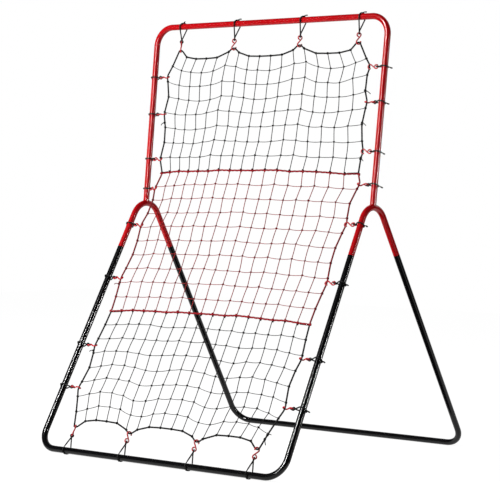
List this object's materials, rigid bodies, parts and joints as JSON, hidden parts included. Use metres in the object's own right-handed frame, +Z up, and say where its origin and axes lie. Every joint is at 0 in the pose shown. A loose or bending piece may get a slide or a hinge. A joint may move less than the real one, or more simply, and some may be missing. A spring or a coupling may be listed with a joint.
{
  "type": "pitching target net",
  "caption": "Free-standing Y-shaped steel tube frame that carries a laced three-section target net on elastic loops and wire S-hooks; the tubes part at snap-button joints",
  "frame": {"origin": "middle of the footprint on the floor", "axes": "+Z up; -Y towards the thrower, whose side has the front base bar; +X to the right as seen from the thrower"},
  "size_m": [1.2351, 1.3488, 1.7691],
  "materials": {
    "red_tube": "gloss powder coat",
    "black_tube": "gloss powder coat",
    "spring_steel": "satin",
    "black_twine": "knotted twine",
    "red_twine": "knotted twine",
    "black_rope": "twisted rope",
    "red_rope": "twisted rope",
    "lacing": "twisted cord",
    "hook_wire": "coated wire",
    "elastic_cord": "braided elastic cord"
  },
  "bodies": {
    "frame": {"top_corner_left": "red_tube", "top_corner_right": "red_tube", "y_joint_left": "red_tube", "y_joint_right": "red_tube", "front_leg_left": "black_tube", "front_leg_right": "black_tube", "rear_leg_left": "black_tube", "rear_leg_right": "black_tube", "spring_clips": "spring_steel", "net_top": "black_twine", "net_middle": "red_twine", "net_bottom": "black_twine", "border_rope_top": "black_rope", "border_rope_bottom": "black_rope", "side_rope_left": "red_rope", "side_rope_right": "red_rope", "lacing_upper": "lacing", "lacing_lower": "lacing", "hooks_top": "hook_wire", "hooks_bottom": "hook_wire", "hooks_left": "hook_wire", "hooks_right": "hook_wire", "bungees_top": "elastic_cord", "bungees_bottom": "elastic_cord", "bungees_left": "elastic_cord", "bungees_right": "elastic_cord"},
    "button_top": {"button_top": "spring_steel"},
    "button_upright_left": {"button_upright_left": "spring_steel"},
    "button_upright_right": {"button_upright_right": "spring_steel"},
    "button_front_arm_left": {"button_front_arm_left": "spring_steel"},
    "button_front_arm_right": {"button_front_arm_right": "spring_steel"},
    "button_rear_arm_left": {"button_rear_arm_left": "spring_steel"},
    "button_rear_arm_right": {"button_rear_arm_right": "spring_steel"},
    "button_front_base": {"button_front_base": "spring_steel"},
    "button_rear_base": {"button_rear_base": "spring_steel"}
  },
  "joints": [
    {"name": "top_press", "type": "slide", "parent": "frame", "child": "button_top", "axis": [0, -1, 0], "range_m": [0, 0.0045], "stiffness_N_per_m": 700, "springref_m": -0.001},
    {"name": "upright_left_press", "type": "slide", "parent": "frame", "child": "button_upright_left", "axis": [-0.0013, -0.9952, 0.0981], "range_m": [0, 0.0045], "stiffness_N_per_m": 700, "springref_m": -0.001},
    {"name": "upright_right_press", "type": "slide", "parent": "frame", "child": "button_upright_right", "axis": [0.0013, -0.9952, 0.0981], "range_m": [0, 0.0045], "stiffness_N_per_m": 700, "springref_m": -0.001},
    {"name": "front_arm_left_press", "type": "slide", "parent": "frame", "child": "button_front_arm_left", "axis": [0.0118, -0.8679, 0.4966], "range_m": [0, 0.0045], "stiffness_N_per_m": 700, "springref_m": -0.001},
    {"name": "front_arm_right_press", "type": "slide", "parent": "frame", "child": "button_front_arm_right", "axis": [-0.0118, -0.8679, 0.4966], "range_m": [0, 0.0045], "stiffness_N_per_m": 700, "springref_m": -0.001},
    {"name": "rear_arm_left_press", "type": "slide", "parent": "frame", "child": "button_rear_arm_left", "axis": [-0.0131, -0.8318, -0.555], "range_m": [0, 0.0045], "stiffness_N_per_m": 700, "springref_m": -0.001},
    {"name": "rear_arm_right_press", "type": "slide", "parent": "frame", "child": "button_rear_arm_right", "axis": [0.0131, -0.8318, -0.555], "range_m": [0, 0.0045], "stiffness_N_per_m": 700, "springref_m": -0.001},
    {"name": "front_base_press", "type": "slide", "parent": "frame", "child": "button_front_base", "axis": [0, -1, 0], "range_m": [0, 0.0045], "stiffness_N_per_m": 700, "springref_m": -0.001},
    {"name": "rear_base_press", "type": "slide", "parent": "frame", "child": "button_rear_base", "axis": [0, -1, 0], "range_m": [0, 0.0045], "stiffness_N_per_m": 700, "springref_m": -0.001}
  ]
}
